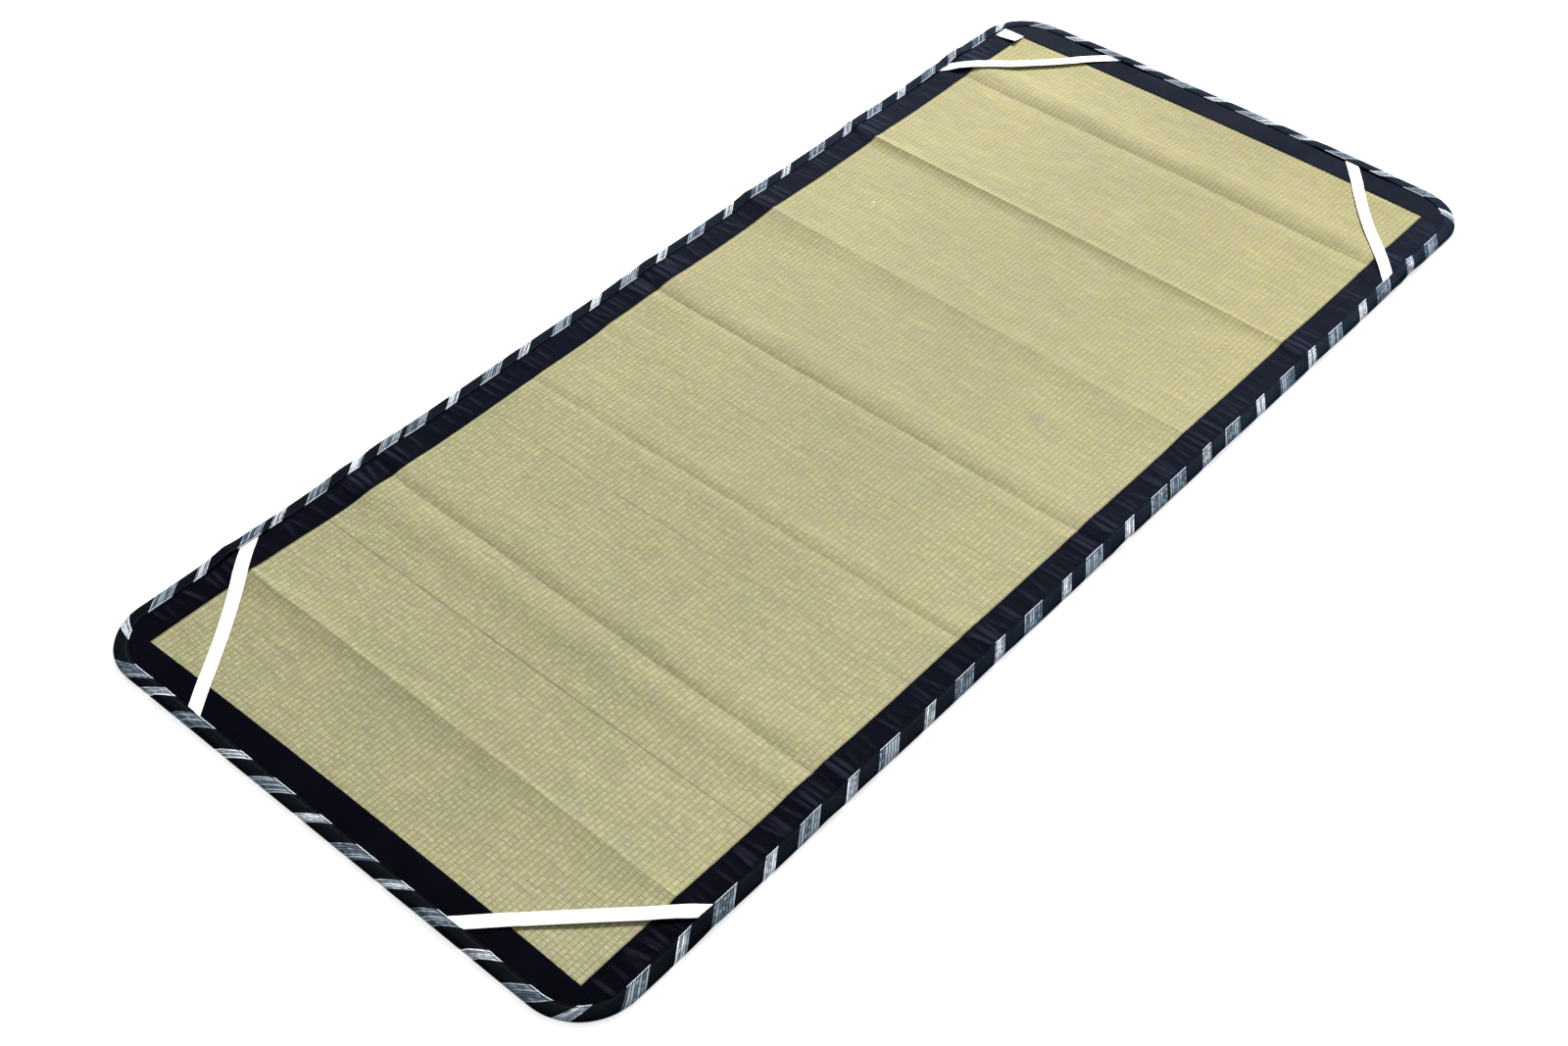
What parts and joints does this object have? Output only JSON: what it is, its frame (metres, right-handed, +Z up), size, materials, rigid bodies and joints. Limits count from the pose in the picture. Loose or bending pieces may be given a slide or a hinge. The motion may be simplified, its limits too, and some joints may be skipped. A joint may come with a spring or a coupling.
{
  "type": "tatami mat",
  "caption": "Thin woven rush mat with a dark cloth border, a bound edge with slanted bars and an elastic strap across each corner.",
  "frame": {"origin": "on the floor under the middle of the mat's box", "axes": "+X across the mat to its right long edge, +Y along it to the end with the label, +Z up"},
  "size_m": [0.8974, 2, 0.0151],
  "materials": {
    "woven_rush": "matt woven rush in ribs of about 8 mm, pale yellow green",
    "border_cloth": "matt plain woven cotton, dark navy",
    "binding_cloth": "matt woven cotton, near black with slanted blue grey bars",
    "white_elastic": "white knitted elastic",
    "label_cloth": "bare white woven label"
  },
  "bodies": {
    "root": {"rush_panel": "woven_rush", "border_near": "border_cloth", "border_far": "border_cloth", "border_left": "border_cloth", "border_right": "border_cloth", "binding": "binding_cloth", "strap_near_left": "white_elastic", "strap_near_right": "white_elastic", "strap_far_left": "white_elastic", "strap_far_right": "white_elastic", "label": "label_cloth"}
  },
  "joints": []
}
